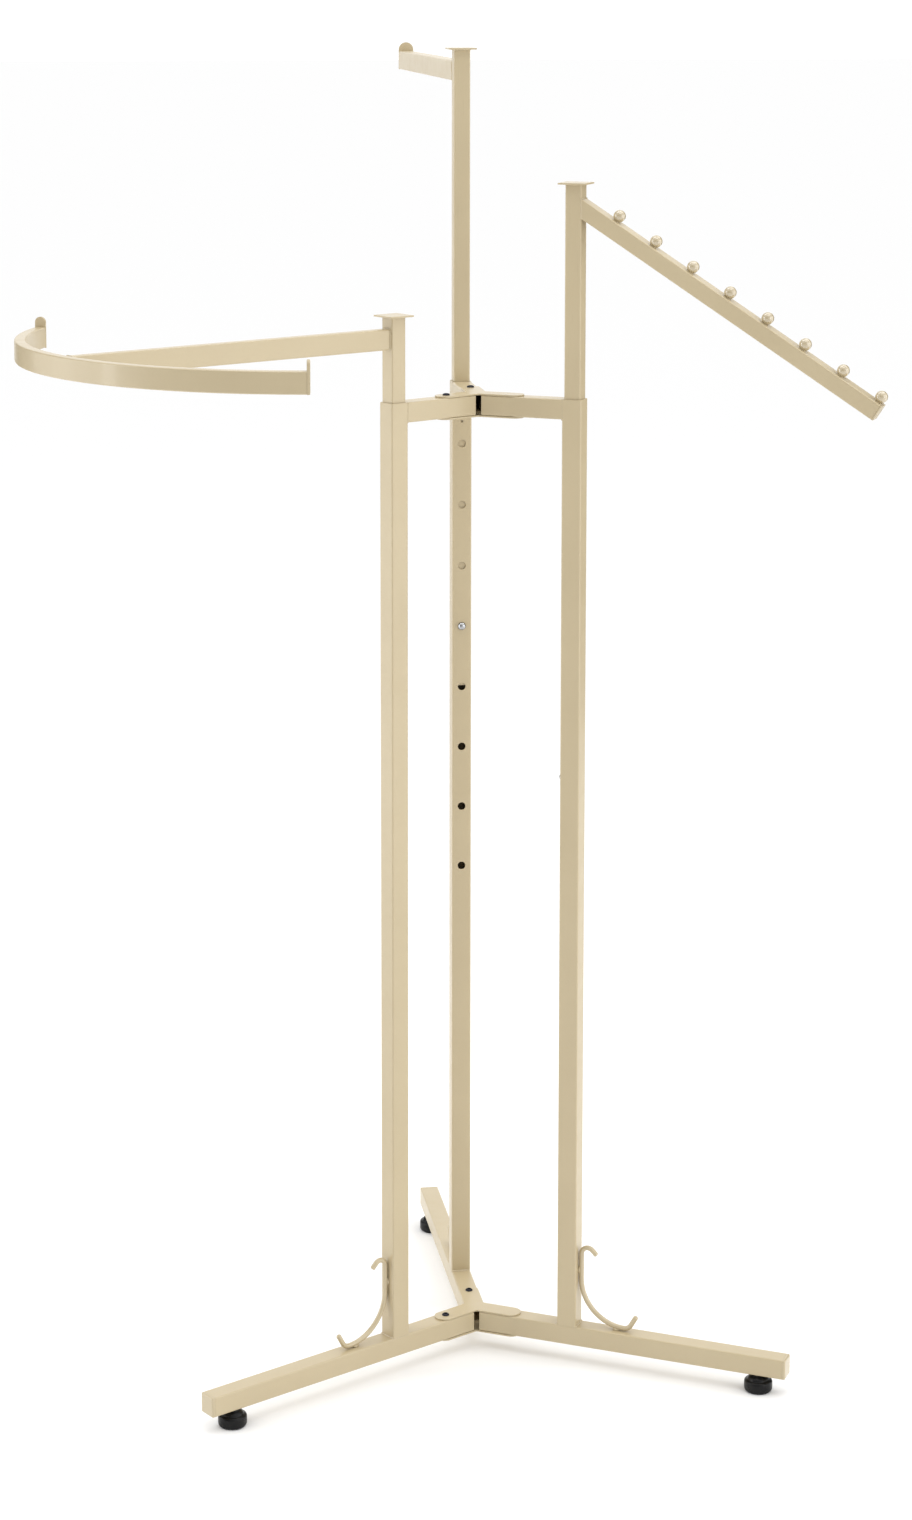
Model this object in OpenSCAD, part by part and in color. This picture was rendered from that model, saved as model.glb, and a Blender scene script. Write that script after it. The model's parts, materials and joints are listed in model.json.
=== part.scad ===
// Three-way clothing rack: three bolted leg frames, three telescoping masts, one arm on each mast.
// Units are millimetres. +Z is up, z = 0 is the floor under the feet, leg B points along +Y.
// The origin is the middle of the footprint of the whole rack's bounding box.

/* [Frame] */
// Angle between neighbouring legs
leg_step = 120; // [120:1:120]
// Side of the square tube of base, uprights and links
tube = 24; // [20:0.5:30]
// Wall of every square tube
wall = 1.5; // [1:0.1:2]
// Outer corner radius of the square tube
tube_r = 2; // [1.6:0.1:3]
// Distance from the hub axis to the upright's centre
upright_at = 124; // [100:1:160]
// Length of the upright above the base tube
upright_h = 1140; // [900:5:1300]
// Distance from the hub axis to the outer end of a leg, end cap included
leg_reach = 400; // [320:5:500]
// Distance from the hub axis to the inner tube ends
hub_gap = 10.5; // [9:0.5:16]

/* [Holes] */
// Pitch of the height holes
hole_pitch = 76.2; // [50:0.1:80]
// Number of height holes in each upright
hole_count = 8; // [4:1:9]
// Diameter of the height holes
hole_d = 9.6; // [7:0.1:12]
// Diameter of the vent hole below the upper hub
vent_d = 3.2; // [2:0.1:5]
// Distance from the upright's top to the vent hole
vent_drop = 48.5; // [40:0.5:60]

/* [Hub plates] */
// Thickness of the hub plates
plate_t = 2; // [1.5:0.5:5]
// Length of a plate arm from the hub axis
plate_reach = 60; // [50:1:75]
// Distance from the hub axis to a bolt
bolt_at = 46; // [35:1:60]
// Nominal bolt diameter
bolt_d = 6; // [5:1:8]
// Bolt head diameter
bolt_head_d = 9; // [8:0.5:14]
// Bolt head height
bolt_head_h = 2.2; // [1.6:0.1:6]
// Nut width across flats
nut_flats = 10; // [8:0.5:14]
// Nut height
nut_h = 5; // [3:0.5:8]

/* [Scroll] */
// Diameter of the bent rod
rod_d = 6; // [4:0.5:8]
// Bend radius of the middle of the scroll
scroll_r = 55; // [40:1:70]
// Straight run along the upright
scroll_run = 32; // [20:1:40]
// Bend radius of the upper hook
hook_r = 8; // [6:0.5:14]
// Straight end of the upper hook
hook_end = 7; // [3:1:14]
// Bend radius of the lower hook
heel_r = 10; // [6:0.5:24]
// Straight end of the lower hook
heel_end = 14; // [6:1:20]
// Gap between rod and tube, bridged by the weld beads
scroll_gap = 0.5; // [0.3:0.1:1]

/* [Feet] */
// Distance from the hub axis to a foot
foot_at = 364; // [300:1:380]
// Height of the base tube's underside above the floor
foot_h = 22; // [18:1:40]
// Foot disc diameter
foot_d = 34; // [28:1:45]
// Nominal thread diameter of the leveling stud
stud_d = 8; // [6:1:10]
// Pitch of the stud's thread
stud_pitch = 1.25; // [1:0.05:1.5]
// Downward travel of a foot
foot_travel = 15; // [0:1:15]

/* [Masts] */
// Side of the square mast tube
mast = 20; // [16:0.5:20]
// Outer corner radius of the mast tube
mast_r = 1.8; // [1.6:0.1:3]
// Distance from the button to the mast's top end
mast_above = 710; // [600:1:800]
// Distance from the button to the mast's bottom end
mast_below = 75; // [60:1:90]
// Side of the square cap plate
cap_side = 34; // [26:1:45]
// Thickness of the cap plate
cap_t = 2; // [1.5:0.5:5]
// Corner radius of the cap plate
cap_r = 1; // [0.5:0.1:4]
// Height hole that holds mast A, counted from the top
hole_a = 8; // [1:1:8]
// Height hole that holds mast B
hole_b = 4; // [1:1:8]
// Height hole that holds mast C
hole_c = 6; // [1:1:8]

/* [Arms] */
// Height of the straight and curved arms' tube
arm_h = 24.5; // [20:0.5:30]
// Width of the curved arm's tube
rail_w = 13; // [10:0.5:20]
// Distance from the cap plate's top to the arm's top
arm_drop = 15.5; // [10:0.5:30]
// Length of the straight arm
arm_b_len = 484; // [300:1:600]
// Distance from the mast's centre to the outside of the curved rail
rail_reach = 454; // [300:1:600]
// Outside radius of the curved rail
rail_r = 340; // [200:5:400]
// Half of the curved rail's angle
rail_half = 52.5; // [30:0.5:70]
// Height of the half-round tips above the arms
tip_rise = 12; // [6:0.5:20]
// Thickness of the tip plates
tip_t = 3.5; // [2:0.5:5]
// Slope of the slanted arm below the horizontal
slope = 32; // [15:0.5:45]
// Length of the slanted arm along its top
arm_c_len = 426; // [300:1:500]
// Distance from the cap plate's top to the slanted arm's top
arm_c_drop = 18.5; // [15:0.5:30]
// Number of balls on the slanted arm
ball_count = 8; // [4:1:9]
// Ball diameter
ball_d = 14.6; // [10:0.2:20]
// Distance between balls
ball_pitch = 53; // [30:0.5:60]
// Distance from the mast to the first ball
ball_first = 47.5; // [30:0.5:70]

/* [Buttons] */
// Button diameter
button_d = 9.4; // [6:0.1:10]
// Distance the button stands out of the upright
button_out = 4.5; // [2:0.5:6]
// Thickness of the button's leaf spring
spring_t = 0.8; // [0.5:0.1:1.2]
// Width of the leaf spring
spring_w = 8; // [6:0.5:10]

/* [Hidden] */
$fn = 48;
eps = 0.01;
run_gap = 0.05; // radial clearance of the studs and buttons
az_a = 90 + leg_step;
az_b = 90;
az_c = 90 - leg_step;
base_z = foot_h;
base_top = base_z + tube;
rim_z = base_top + upright_h;
link_z = rim_z - tube;
end_t = 4; // visible thickness of a base tube's end cap
cap_fit = 0.6; // width that the end cap's plug gives away to the tube
face_in = upright_at - tube / 2; // hub-facing face of an upright
face_out = upright_at + tube / 2; // outer face of an upright
mast_out = upright_at + mast / 2; // outer face of a mast
mast_in = upright_at - mast / 2; // hub-facing face of a mast
top_hole = rim_z - hole_pitch;
rod_at = rod_d / 2 + scroll_gap;
weld_d = rod_d - 1; // diameter of the scroll's two weld beads
bolt_r = bolt_d / 2;
bolt_clear = bolt_r + 0.3;
socket_floor = 0.6; // height of the hex socket's floor in the bolt head
stud_r = stud_d / 2;
nut_z = base_z + wall;
stud_nut_h = 6.5;
stud_top = nut_z + stud_nut_h + foot_travel - 1.5;
stud_low = 10;
pad_round = 4;
pad_top = 14.5;
neck_z = foot_h - 1;
flange_r = 6;
flange_t = 1.2;
rail_c = upright_at + rail_reach - rail_r;
ball_lift = ball_d / 2 - 0.5;
spring_len = 46;
spring_bend = 3;
gun = [0.15, 0.14, 0.13];
zinc = [0.62, 0.62, 0.6];
chrome = [0.8, 0.81, 0.82];
black = [0.09, 0.09, 0.09];
paint = [0.82, 0.76, 0.62];
paint_dark = [0.76, 0.7, 0.55];

// The hub axis is moved off the origin so that the origin is the middle of the whole footprint.
last_ball = mast_out + (ball_first + (ball_count - 1) * ball_pitch) * cos(slope) + ball_lift * sin(slope);
min_x = rail_c * cos(az_a) - rail_r;
max_x = last_ball * cos(az_c) + ball_d / 2;
min_y = rail_c * sin(az_a) + rail_r * sin(az_a + rail_half) + tip_t * cos(az_a + rail_half);
max_y = mast_out + arm_b_len + tip_t;
hub_x = -(min_x + max_x) / 2;
hub_y = -(min_y + max_y) / 2;

// Height of a hole, counted from the top
function hole_z(n) = top_hole - (n - 1) * hole_pitch;

// Puts a leg's own frame (X outward, Z up) at its angle round the hub
module on_leg(az) {
  translate([hub_x, hub_y, 0]) rotate([0, 0, az]) children();
}

module at_hub() {
  translate([hub_x, hub_y, 0]) children();
}

// Rectangle with round corners
module soft_rect(w, h, r) {
  square([w, h - 2 * r], center = true);
  square([w - 2 * r, h], center = true);
  for (x = [-1, 1], y = [-1, 1]) translate([x * (w / 2 - r), y * (h / 2 - r)]) circle(r);
}

// Section of a rectangular tube
module tube_section(w, h, r) {
  difference() {
    soft_rect(w, h, r);
    soft_rect(w - 2 * wall, h - 2 * wall, r - wall);
  }
}

// Rectangular tube along X: y wide, z high, its underside at height z
module tube_x(x0, x1, w, h, z, r) {
  translate([x0, 0, z + h / 2]) rotate([90, 0, 90]) linear_extrude(x1 - x0) tube_section(w, h, r);
}

// Vertical square tube at distance x
module tube_z(x, z0, z1, side, r) {
  translate([x, 0, z0]) linear_extrude(z1 - z0) tube_section(side, side, r);
}

// Plate on end, square to X, with a half-round top
module tip_plate(w, h) {
  rotate([90, 0, 90]) linear_extrude(tip_t) {
    translate([-w / 2, 0]) square([w, h - w / 2]);
    translate([0, h - w / 2]) circle(w / 2);
  }
}

// Upright hole through the two level walls at distance x
module bolt_hole(z) {
  translate([bolt_at, 0, z - eps]) cylinder(r = bolt_clear, h = tube + 2 * eps);
}

module base_tube(bolted) {
  color(paint) difference() {
    tube_x(hub_gap, leg_reach - end_t, tube, tube, base_z, tube_r);
    if (bolted) bolt_hole(base_z);
    translate([foot_at, 0, base_z - eps]) cylinder(r = stud_r + 0.5, h = wall + 2 * eps);
  }
}

module upright() {
  color(paint) difference() {
    tube_z(upright_at, base_top, rim_z, tube, tube_r);
    for (n = [1:hole_count]) translate([face_in - eps, 0, hole_z(n)]) rotate([0, 90, 0])
      cylinder(d = hole_d, h = wall + 2 * eps);
    translate([face_in - eps, 0, rim_z - vent_drop]) rotate([0, 90, 0])
      cylinder(d = vent_d, h = wall + 2 * eps);
  }
}

module link_tube(bolted) {
  color(paint) difference() {
    tube_x(hub_gap, face_in, tube, tube, link_z, tube_r);
    if (bolted) bolt_hole(link_z);
  }
}

// Bend in the leg's plane, from one angle over a sweep
module bend(x, z, r, from, sweep) {
  translate([x, 0, z]) rotate([90, 0, 0]) rotate([0, 0, from])
    rotate_extrude(angle = sweep) translate([r, 0]) circle(d = rod_d);
}

// Straight rod in the leg's plane, tilted up from X
module rod(x, z, tilt, len) {
  translate([x, 0, z]) rotate([0, 90 - tilt, 0]) cylinder(d = rod_d, h = len);
}

module scroll() {
  x = face_out + rod_at;
  z = base_top + rod_at;
  hook_z = z + scroll_r + scroll_run;
  heel_x = x + scroll_r;
  color(paint_dark) {
    bend(x + scroll_r, z + scroll_r, scroll_r, 180, 90);
    rod(x, z + scroll_r, 90, scroll_run);
    bend(x + hook_r, hook_z, hook_r, 45, 135);
    rod(x + hook_r + hook_r * cos(45), hook_z + hook_r * sin(45), -45, hook_end);
    bend(heel_x, z + heel_r, heel_r, 270, 60);
    rod(heel_x + heel_r * cos(30), z + heel_r * (1 - sin(30)), 60, heel_end);
    // weld beads to the upright and to the base tube
    translate([face_out, 0, z + scroll_r + 6]) rotate([0, 90, 0]) cylinder(d = weld_d, h = rod_at);
    translate([heel_x - 2 * weld_d, 0, base_top]) cylinder(d = weld_d, h = rod_at);
  }
}

module end_cap() {
  color(paint_dark) {
    translate([leg_reach - end_t, 0, base_z + tube / 2]) rotate([90, 0, 90]) {
      hull() {
        linear_extrude(end_t - 1.5) soft_rect(tube, tube, tube_r);
        linear_extrude(end_t) soft_rect(tube - 3, tube - 3, tube_r);
      }
      translate([0, 0, -12]) linear_extrude(12)
        soft_rect(tube - 2 * wall - cap_fit, tube - 2 * wall - cap_fit, 1);
    }
  }
}

// Hexagonal nut standing on height z
module hex_nut(x, z, flats, h, r) {
  translate([x, 0, z]) difference() {
    cylinder(d = flats / cos(30), h = h, $fn = 6);
    translate([0, 0, -eps]) cylinder(r = r, h = h + 2 * eps);
  }
}

module weld_nut() {
  color(zinc) hex_nut(foot_at, nut_z, 13, stud_nut_h, stud_r + run_gap);
}

module foot_stud() {
  color(zinc) translate([foot_at, 0, stud_low]) cylinder(r = stud_r, h = stud_top - stud_low);
}

module foot_pad() {
  r = foot_d / 2;
  color(black) translate([foot_at, 0, 0]) rotate_extrude() difference() {
    union() {
      square([r - pad_round, pad_top]);
      translate([0, pad_round]) square([r, pad_top - pad_round]);
      translate([r - pad_round, pad_round]) circle(pad_round);
      polygon([[0, pad_top - eps], [r, pad_top - eps], [r - 5, pad_top + 3.5],
        [stud_r + 4, neck_z], [0, neck_z]]);
    }
    translate([0, stud_low]) square([stud_r + run_gap, foot_h]);
    translate([-r, -eps]) square([r, foot_h]);
  }
}

// Plate with three arms, resting on height z, bored over the bolted legs
module hub_plate(z) {
  end_r = tube / 2;
  color(paint) at_hub() translate([0, 0, z]) linear_extrude(plate_t) difference() {
    union() {
      circle(end_r);
      for (az = [az_a, az_b, az_c]) rotate(az) {
        translate([0, -end_r]) square([plate_reach - end_r, tube]);
        translate([plate_reach - end_r, 0]) circle(end_r);
      }
    }
    for (az = [az_a, az_b]) rotate(az) translate([bolt_at, 0]) circle(bolt_clear);
  }
}

// Button-head bolt: its head rests on height z and its end is flush with the under plate
module hub_bolt(z) {
  drop = tube + 2 * plate_t;
  ball_r = (pow(bolt_head_d / 2, 2) + pow(bolt_head_h, 2)) / (2 * bolt_head_h);
  translate([bolt_at, 0, z]) {
    difference() {
      intersection() {
        cylinder(d = bolt_head_d, h = bolt_head_h);
        translate([0, 0, bolt_head_h - ball_r]) sphere(ball_r);
      }
      translate([0, 0, socket_floor]) cylinder(d = 4 / cos(30), h = bolt_head_h, $fn = 6);
    }
    translate([0, 0, -drop]) cylinder(r = bolt_r, h = drop);
  }
}

// The two bolts through one pair of hub plates
module hub_bolts(z) {
  color(gun) for (az = [az_a, az_b]) on_leg(az) hub_bolt(z);
}

// The two nuts inside the bolted tubes, on their lower walls
module hub_nuts(z) {
  color(zinc) for (az = [az_a, az_b]) on_leg(az)
    hex_nut(bolt_at, z, nut_flats, nut_h, bolt_r + run_gap);
}

module mast_tube(n) {
  z = hole_z(n);
  color(paint) difference() {
    tube_z(upright_at, z - mast_below, z + mast_above, mast, mast_r);
    translate([mast_in - eps, 0, z]) rotate([0, 90, 0]) cylinder(d = hole_d, h = wall + 2 * eps);
  }
}

module mast_cap(n) {
  color(paint) translate([upright_at, 0, hole_z(n) + mast_above]) linear_extrude(cap_t)
    soft_rect(cap_side, cap_side, cap_r);
}

// Domed button along X: its flange rests inside the mast wall
module snap_button(n) {
  r = button_d / 2;
  dome_r = (r * r + 9) / 6;
  tip_x = face_in - button_out;
  seat_x = mast_in + wall;
  color(chrome) translate([tip_x, 0, hole_z(n)]) rotate([0, 90, 0]) {
    intersection() {
      cylinder(r = r, h = seat_x - tip_x);
      union() {
        translate([0, 0, dome_r]) sphere(dome_r);
        translate([0, 0, 3]) cylinder(r = r + 1, h = seat_x - tip_x);
      }
    }
    translate([0, 0, seat_x - tip_x]) cylinder(r = flange_r, h = flange_t);
  }
}

// Bent leaf inside the mast that pushes the button out
module snap_spring(n) {
  x0 = mast_in + wall + flange_t + spring_t / 2 + eps;
  x1 = mast_out - wall - spring_t / 2 - 0.1;
  mid = (x0 + x1) / 2;
  leaf = [[x0, 6], [x0, -6], [mid - spring_bend, -spring_len], [mid, -spring_len - spring_bend],
    [mid + spring_bend, -spring_len], [x1, -spring_len / 3]];
  color(zinc) translate([0, spring_w / 2, hole_z(n)]) rotate([90, 0, 0]) linear_extrude(spring_w)
    for (i = [0:len(leaf) - 2]) hull() {
      translate(leaf[i]) circle(d = spring_t, $fn = 12);
      translate(leaf[i + 1]) circle(d = spring_t, $fn = 12);
    }
}

// Underside of an arm's tube for a mast held in hole n
function arm_z(n) = hole_z(n) + mast_above + cap_t - arm_drop - arm_h;

module arm_tube_a() {
  color(paint) intersection() {
    tube_x(mast_out, upright_at + rail_reach, rail_w, arm_h, arm_z(hole_a), tube_r);
    translate([rail_c, 0, arm_z(hole_a) - 1]) cylinder(r = rail_r - rail_w, h = arm_h + 2, $fn = 180);
  }
}

module curved_rail() {
  color(paint) translate([rail_c, 0, arm_z(hole_a) + arm_h / 2]) rotate([0, 0, -rail_half])
    rotate_extrude(angle = 2 * rail_half, $fn = 180) translate([rail_r - rail_w / 2, 0])
      tube_section(rail_w, arm_h, tube_r);
}

module rail_tips() {
  color(paint) for (s = [-1, 1]) translate([rail_c, 0, arm_z(hole_a)]) rotate([0, 0, s * rail_half])
    translate([rail_r - rail_w / 2, 0, 0]) rotate([0, 0, s * 90]) tip_plate(rail_w, arm_h + tip_rise);
}

module arm_tube_b() {
  color(paint) tube_x(mast_out, mast_out + arm_b_len, mast, arm_h, arm_z(hole_b), tube_r);
}

module arm_tip_b() {
  color(paint) translate([mast_out + arm_b_len, 0, arm_z(hole_b)]) tip_plate(mast, arm_h + tip_rise);
}

// Frame of the slanted arm: X down its top face, Z square to it
module on_slope() {
  translate([mast_out, 0, hole_z(hole_c) + mast_above + cap_t - arm_c_drop])
    rotate([0, slope, 0]) children();
}

module arm_tube_c() {
  color(paint) difference() {
    on_slope() tube_x(-mast, arm_c_len - 2, mast, mast, -mast, mast_r);
    translate([mast_out - 2 * mast, -mast, hole_z(hole_c)]) cube([2 * mast, 2 * mast, mast_above + mast]);
  }
}

module arm_end_c() {
  color(paint) on_slope() translate([arm_c_len - 2, 0, -mast / 2]) rotate([90, 0, 90])
    linear_extrude(2) soft_rect(mast, mast, mast_r);
}

module ball_stops() {
  color(paint_dark) on_slope() for (i = [0:ball_count - 1])
    translate([ball_first + i * ball_pitch, 0, 0]) difference() {
      translate([0, 0, ball_lift]) sphere(d = ball_d, $fn = 32);
      translate([-ball_d, -ball_d, -ball_d]) cube([2 * ball_d, 2 * ball_d, ball_d]);
    }
}

on_leg(az_a) base_tube(true);  // base_tube_a
on_leg(az_b) base_tube(true);  // base_tube_b
on_leg(az_c) base_tube(false);  // base_tube_c
on_leg(az_a) upright();  // upright_a
on_leg(az_b) upright();  // upright_b
on_leg(az_c) upright();  // upright_c
on_leg(az_a) link_tube(true);  // link_tube_a
on_leg(az_b) link_tube(true);  // link_tube_b
on_leg(az_c) link_tube(false);  // link_tube_c
on_leg(az_a) scroll();  // scroll_a
on_leg(az_b) scroll();  // scroll_b
on_leg(az_c) scroll();  // scroll_c
on_leg(az_a) end_cap();  // end_cap_a
on_leg(az_b) end_cap();  // end_cap_b
on_leg(az_c) end_cap();  // end_cap_c
on_leg(az_a) weld_nut();  // weld_nut_a
on_leg(az_b) weld_nut();  // weld_nut_b
on_leg(az_c) weld_nut();  // weld_nut_c
on_leg(az_a) foot_stud();  // foot_stud_a
on_leg(az_b) foot_stud();  // foot_stud_b
on_leg(az_c) foot_stud();  // foot_stud_c
on_leg(az_a) foot_pad();  // foot_pad_a
on_leg(az_b) foot_pad();  // foot_pad_b
on_leg(az_c) foot_pad();  // foot_pad_c
hub_plate(rim_z);  // hub_plate_top
hub_plate(link_z - plate_t);  // hub_plate_under_top
hub_plate(base_top);  // hub_plate_low
hub_plate(base_z - plate_t);  // hub_plate_under_low
hub_bolts(rim_z + plate_t);  // hub_bolts_top
hub_bolts(base_top + plate_t);  // hub_bolts_low
hub_nuts(link_z + wall);  // hub_nuts_top
hub_nuts(nut_z);  // hub_nuts_low
on_leg(az_a) mast_tube(hole_a);  // mast_tube_a
on_leg(az_b) mast_tube(hole_b);  // mast_tube_b
on_leg(az_c) mast_tube(hole_c);  // mast_tube_c
on_leg(az_a) mast_cap(hole_a);  // mast_cap_a
on_leg(az_b) mast_cap(hole_b);  // mast_cap_b
on_leg(az_c) mast_cap(hole_c);  // mast_cap_c
on_leg(az_a) snap_button(hole_a);  // snap_button_a
on_leg(az_b) snap_button(hole_b);  // snap_button_b
on_leg(az_c) snap_button(hole_c);  // snap_button_c
on_leg(az_a) snap_spring(hole_a);  // snap_spring_a
on_leg(az_b) snap_spring(hole_b);  // snap_spring_b
on_leg(az_c) snap_spring(hole_c);  // snap_spring_c
on_leg(az_a) arm_tube_a();
on_leg(az_a) curved_rail();
on_leg(az_a) rail_tips();
on_leg(az_b) arm_tube_b();
on_leg(az_b) arm_tip_b();
on_leg(az_c) arm_tube_c();
on_leg(az_c) arm_end_c();
on_leg(az_c) ball_stops();
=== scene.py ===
"""Looks of the three-way clothing rack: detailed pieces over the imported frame, paint, lights and camera.

Shapes are worked out in millimetres in each leg's own frame (X outward from the hub axis, Z up)
and go into the row frame in metres. Pieces replace the CAD nodes that they stand for.
"""

import json
import math

import bmesh
import bpy
from mathutils import Matrix, Vector

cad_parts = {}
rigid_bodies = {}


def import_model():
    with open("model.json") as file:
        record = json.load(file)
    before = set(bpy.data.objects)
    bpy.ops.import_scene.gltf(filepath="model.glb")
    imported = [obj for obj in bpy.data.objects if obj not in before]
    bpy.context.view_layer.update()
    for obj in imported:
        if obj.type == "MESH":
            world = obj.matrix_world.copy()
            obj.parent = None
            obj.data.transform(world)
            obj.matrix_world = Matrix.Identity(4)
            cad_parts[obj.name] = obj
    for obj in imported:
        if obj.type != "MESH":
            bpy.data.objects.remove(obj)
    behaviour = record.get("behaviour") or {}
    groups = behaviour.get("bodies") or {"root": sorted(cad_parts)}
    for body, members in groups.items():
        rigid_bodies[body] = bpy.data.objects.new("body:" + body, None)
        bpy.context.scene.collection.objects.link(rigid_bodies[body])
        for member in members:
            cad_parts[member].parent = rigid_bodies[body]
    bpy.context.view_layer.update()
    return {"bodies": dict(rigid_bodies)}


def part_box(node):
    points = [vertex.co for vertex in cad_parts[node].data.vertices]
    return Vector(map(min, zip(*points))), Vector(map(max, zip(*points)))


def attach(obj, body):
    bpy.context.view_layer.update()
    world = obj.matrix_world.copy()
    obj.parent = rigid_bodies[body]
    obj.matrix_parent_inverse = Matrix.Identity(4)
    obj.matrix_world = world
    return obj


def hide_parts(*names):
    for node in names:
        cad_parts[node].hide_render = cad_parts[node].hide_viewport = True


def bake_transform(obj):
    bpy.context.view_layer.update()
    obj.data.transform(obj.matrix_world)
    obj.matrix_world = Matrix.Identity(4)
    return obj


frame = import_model()

LEGS = sorted(name[-1] for name in frame["bodies"] if name.startswith("mast_"))
AZ = {"a": 210, "b": 90, "c": -30}  # the way that each leg points
UP_AT = 124  # an upright's middle, from the hub axis

UPRIGHT_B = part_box("upright_b")
HUB = ((UPRIGHT_B[0].x + UPRIGHT_B[1].x) / 2, (UPRIGHT_B[0].y + UPRIGHT_B[1].y) / 2 - UP_AT / 1000, 0)

# tubes: width, wall and corner radius
TUBE, WALL, TUBE_R = 24, 1.5, 2
MAST, MAST_R = 20, 1.8
FACE_IN, FACE_OUT = UP_AT - TUBE / 2, UP_AT + TUBE / 2
MAST_OUT = UP_AT + MAST / 2
BASE_LOW, BASE_TOP, LINK_Z, RIM = 22, 46, 1162, 1186
HUB_GAP, BASE_END, LEG_END = 10.5, 396, 400  # where a base tube starts and ends, and its end cap's face

# height holes
PITCH, HOLE_COUNT, HOLE_R = 76.2, 8, 4.8
TOP_HOLE = round(RIM - PITCH, 1)
BELOW_TOP = {"a": 7, "b": 3, "c": 5}  # which hole holds each mast, counted down from the top one
HOLE = {k: round(TOP_HOLE - n * PITCH, 1) for k, n in BELOW_TOP.items()}
VENT_DROP, VENT_R = 48.5, 1.6

# feet, hubs and their fasteners
FOOT_AT, FOOT_HOLE_R = 364, 4.5
PLATE_T, PLATE_ROOT, PLATE_FILLET = 2, 48, 3  # thickness, the end arcs' middle, the inner corners' radius
BOLT_AT, BOLT_R, BOLT_TIP = 46, 3.0, -27.9
HEAD_D, HEAD_H, SOCKET = 9, 2.2, 4.0
STUD_LOW, STUD_TOP, THREAD_R, THREAD_PITCH = 10, 43.5, 4.0, 1.25
NUT_FIT = 0.05  # a nut's bore round its bolt
HUB_NUT, WELD_NUT = (10, 5), (13, 6.5)  # width across flats and height

# masts, their caps and arms, measured up from a mast's hole
MAST_LOW, MAST_TOP, CAP_T, CAP_W = -75, 710, 2, 34
CAP_TOP = MAST_TOP + CAP_T
ARM_H, ARM_DROP, ARM_C_DROP = 24.5, 15.5, 18.5  # height of arms A and B, the arms' tops below the cap's
ARM_Z = CAP_TOP - ARM_DROP - ARM_H  # underside of arms A and B
RAIL_C, RAIL_R, RAIL_W, RAIL_HALF = 238, 340, 13, 52.5
TIP_T, TIP_RISE = 3.5, 12  # end plates of arms A and B
SLOPE = math.radians(32)
ARM_C_TOP = CAP_TOP - ARM_C_DROP
ARM_C_END, END_T = 424, 2  # where its end plate starts, and that plate's thickness
BALL_COUNT, BALL_FIRST, BALL_PITCH, BALL_R, BALL_UP = 8, 47.5, 53, 7.3, 6.8

# scroll: rod radius, its distance from the tubes' faces, its bends' radii and its straight run
ROD, ROD_AT, SCROLL_R, HOOK_R, HEEL_R, SCROLL_RUN = 3, 3.5, 55, 8, 10, 32
HOOK_END, HEEL_END = 7, 14  # the straight ends past its hook and heel
BEAD_UP, BEAD_BACK = SCROLL_R + 11, 10  # its weld beads, up from its foot and back from its heel

rad = math.radians


def moved(x=0, y=0, z=0):
    return Matrix.Translation((x, y, z))


def turned(angle, axis="Z"):
    """Turn by degrees about an axis."""
    return Matrix.Rotation(rad(angle), 4, axis)


def leg(k):
    """From millimetres in one leg's frame to metres in the row frame."""
    return Matrix.Translation(HUB) @ turned(AZ[k]) @ Matrix.Scale(0.001, 4)


ALONG = Matrix(((0, 0, 1, 0), (0, -1, 0, 0), (1, 0, 0, 0), (0, 0, 0, 1)))  # Z to outward, X to up
ON_END = Matrix(((0, 0, 1, 0), (1, 0, 0, 0), (0, 1, 0, 0), (0, 0, 0, 1)))  # X to side, Y to up


def circle(r, z, n):
    """n points round Z at one height. r is a radius, or a function of the point's number that gives it."""
    out = []
    for i in range(n):
        a, ri = 2 * math.pi * i / n, r(i) if callable(r) else r
        out.append((ri * math.cos(a), ri * math.sin(a), z))
    return out


class Geo:
    """Vertices and faces of one piece."""

    def __init__(self):
        self.v, self.f = [], []

    def loop(self, pts, m):
        n = len(self.v)
        self.v += [m @ Vector(p) for p in pts]
        return list(range(n, len(self.v)))

    def bridge(self, a, b, closed=True):
        n = len(a)
        for i in range(n if closed else n - 1):
            j = (i + 1) % n
            self.f.append((a[i], a[j], b[j], b[i]))

    def skin(self, loops, ends=True):
        for a, b in zip(loops, loops[1:]):
            self.bridge(a, b)
        if ends:
            self.f += [tuple(reversed(loops[0])), tuple(loops[-1])]


def rrect(w, h, r, d=0.0, n=5):
    """Loop round a rectangle with round corners, inset by d. Its -X side closes it."""
    w, h, r = w / 2 - d, h / 2 - d, max(r - d, 0.2)
    out = []
    for sx, sy, a0 in ((-1, -1, 180), (1, -1, 270), (1, 1, 0), (-1, 1, 90)):
        for i in range(n + 1):
            a = rad(a0 + 90 * i / n)
            out.append((sx * (w - r) + r * math.cos(a), sy * (h - r) + r * math.sin(a)))
    return out


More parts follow.
